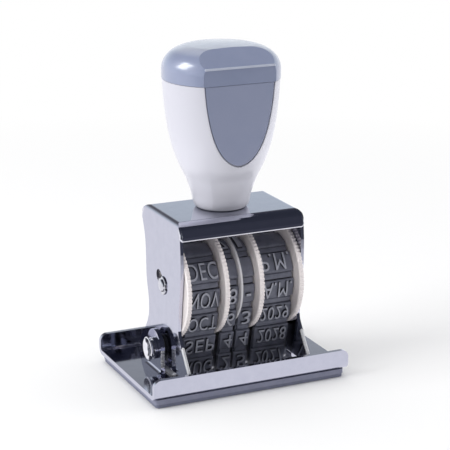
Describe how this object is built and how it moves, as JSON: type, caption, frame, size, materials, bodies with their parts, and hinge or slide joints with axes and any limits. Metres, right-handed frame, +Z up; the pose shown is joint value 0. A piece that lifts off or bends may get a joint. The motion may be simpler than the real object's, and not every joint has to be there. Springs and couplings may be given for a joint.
{
  "type": "rotary date stamp",
  "caption": "Hand stamp with a folded chrome frame, serrated thumb wheels turning character bands, a height-adjustable die plate and a two-tone handle.",
  "frame": {"origin": "middle of the printing face, on the plane the stamp rests on", "axes": "+X across the stamp along the wheel axle, +Y from the front with the shield to the back, +Z up along the handle"},
  "size_m": [0.0572, 0.0404, 0.0908],
  "materials": {
    "handle_white": "gloss",
    "handle_grey": "semi-gloss",
    "brass": "machined",
    "screw_steel": "zinc plated",
    "chrome": "bright chrome",
    "axle_steel": "polished",
    "wheel_ivory": "satin",
    "spacer_white": "satin",
    "band_rubber": "satin",
    "shoe_metal": "die cast",
    "dark_washer": "black oxide",
    "cushion": "matte",
    "die_rubber": "matte",
    "bright_steel": "nickel plated"
  },
  "bodies": {
    "stamp_frame": {"frame": "chrome", "handle_body": "handle_white", "handle_cap": "handle_grey", "handle_shield": "handle_grey", "handle_insert": "brass", "handle_screw": "screw_steel", "handle_washer": "screw_steel", "axle": "axle_steel", "month_band": "band_rubber", "tens_band": "band_rubber", "units_band": "band_rubber", "year_band": "band_rubber", "print_shoe": "shoe_metal", "spacer_washers": "dark_washer"},
    "month_wheel": {"month_wheel": "wheel_ivory"},
    "tens_wheel": {"tens_wheel": "wheel_ivory"},
    "units_wheel": {"units_wheel": "wheel_ivory"},
    "year_wheel": {"year_wheel": "wheel_ivory"},
    "spacer_disc": {"spacer_disc": "spacer_white"},
    "die_plate": {"die_plate": "chrome", "die_cushion": "cushion", "rubber_die": "die_rubber"},
    "clamp_seat_left": {"clamp_washer_left": "bright_steel"},
    "clamp_screw_left": {"clamp_screw_left": "bright_steel"},
    "clamp_seat_right": {"clamp_washer_right": "bright_steel"},
    "clamp_screw_right": {"clamp_screw_right": "bright_steel"}
  },
  "joints": [
    {"name": "month_wheel_turn", "type": "hinge", "parent": "stamp_frame", "child": "month_wheel", "pos_m": [0, -0.0015, 0.0271], "axis": [1, 0, 0], "continuous": true},
    {"name": "tens_wheel_turn", "type": "hinge", "parent": "stamp_frame", "child": "tens_wheel", "pos_m": [0, -0.0015, 0.0271], "axis": [1, 0, 0], "continuous": true},
    {"name": "units_wheel_turn", "type": "hinge", "parent": "stamp_frame", "child": "units_wheel", "pos_m": [0, -0.0015, 0.0271], "axis": [1, 0, 0], "continuous": true},
    {"name": "year_wheel_turn", "type": "hinge", "parent": "stamp_frame", "child": "year_wheel", "pos_m": [0, -0.0015, 0.0271], "axis": [1, 0, 0], "continuous": true},
    {"name": "spacer_disc_turn", "type": "hinge", "parent": "stamp_frame", "child": "spacer_disc", "pos_m": [0, -0.0015, 0.0271], "axis": [1, 0, 0], "continuous": true},
    {"name": "die_plate_height", "type": "slide", "parent": "stamp_frame", "child": "die_plate", "axis": [0, 0, 1], "range_m": [-0.0012, 0.0012]},
    {"name": "clamp_left_travel", "type": "slide", "parent": "stamp_frame", "child": "clamp_seat_left", "axis": [-1, 0, 0], "range_m": [0, 0.001]},
    {"name": "clamp_left_turn", "type": "hinge", "parent": "clamp_seat_left", "child": "clamp_screw_left", "pos_m": [-0.021, 0, 0.0092], "axis": [-1, 0, 0], "range_deg": [0, 720]},
    {"name": "clamp_right_travel", "type": "slide", "parent": "stamp_frame", "child": "clamp_seat_right", "axis": [1, 0, 0], "range_m": [0, 0.001]},
    {"name": "clamp_right_turn", "type": "hinge", "parent": "clamp_seat_right", "child": "clamp_screw_right", "pos_m": [0.021, 0, 0.0092], "axis": [1, 0, 0], "range_deg": [0, 720]}
  ],
  "couplings": [
    {"joint": "clamp_left_turn", "follows": "clamp_left_travel", "rad_per_m": 12566},
    {"joint": "clamp_right_turn", "follows": "clamp_right_travel", "rad_per_m": 12566}
  ]
}
